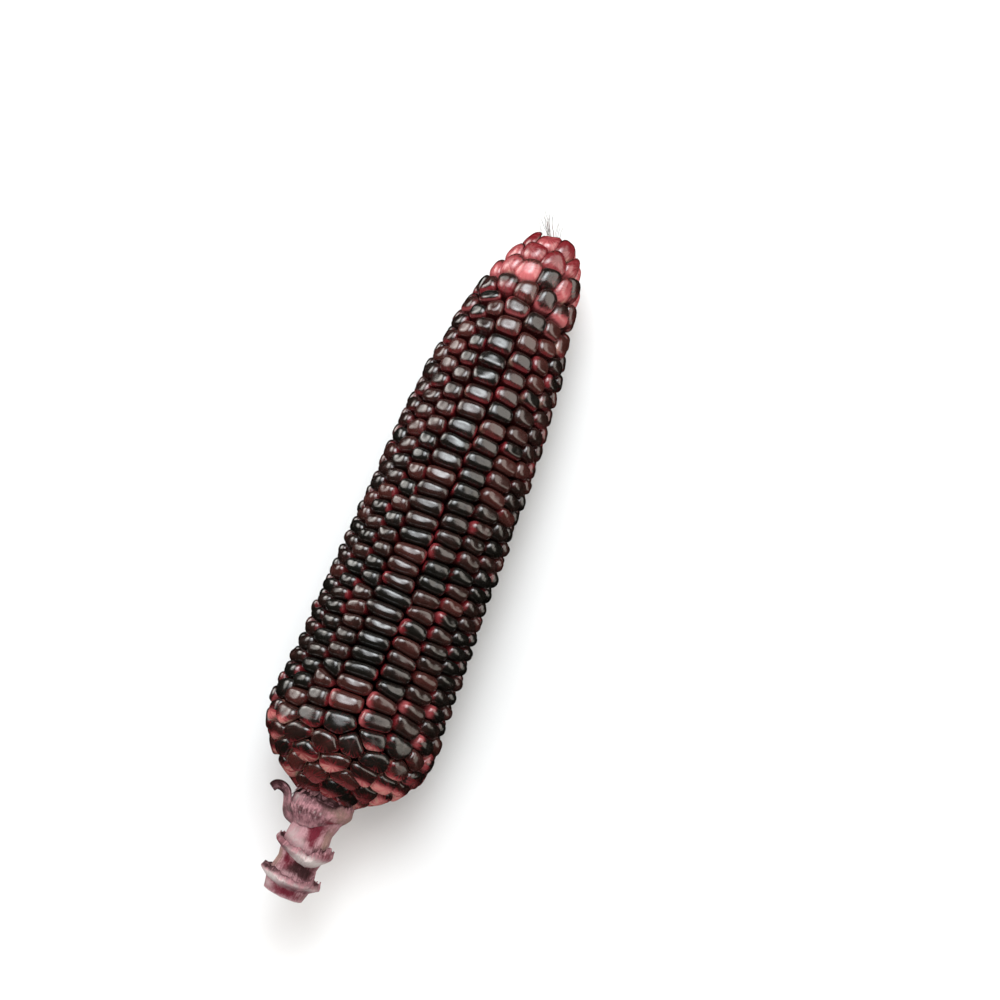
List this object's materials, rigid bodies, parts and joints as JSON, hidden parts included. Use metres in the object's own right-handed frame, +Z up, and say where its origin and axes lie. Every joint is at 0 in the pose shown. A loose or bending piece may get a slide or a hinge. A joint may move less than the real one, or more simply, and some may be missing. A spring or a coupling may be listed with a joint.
{
  "type": "corn cob",
  "caption": "Dark purple corn ear lying on its side, husk torn away: rows of glossy kernels on a tapering cob, a short shank with ragged husk stubs, a little silk at the tip.",
  "frame": {"origin": "middle of the ear's box, on the surface it lies on (z = 0)", "axes": "+Y along the ear from the cut shank to the tip, +Z up, +X to the ear's right seen from above with the tip away from the viewer"},
  "size_m": [0.051, 0.2129, 0.051],
  "materials": {
    "kernels": "gloss",
    "cob": "matte",
    "husk": "matte",
    "silk": "matte"
  },
  "bodies": {
    "root": {"cob_with_shank": "cob", "kernel_row_01": "kernels", "kernel_row_02": "kernels", "kernel_row_03": "kernels", "kernel_row_04": "kernels", "kernel_row_05": "kernels", "kernel_row_06": "kernels", "kernel_row_07": "kernels", "kernel_row_08": "kernels", "kernel_row_09": "kernels", "kernel_row_10": "kernels", "kernel_row_11": "kernels", "kernel_row_12": "kernels", "kernel_row_13": "kernels", "kernel_row_14": "kernels", "kernel_row_15": "kernels", "kernel_row_16": "kernels", "upper_husk_stub": "husk", "middle_husk_stub": "husk", "lower_husk_stub": "husk", "curled_husk_strip": "husk", "silk_tuft": "silk"}
  },
  "joints": []
}
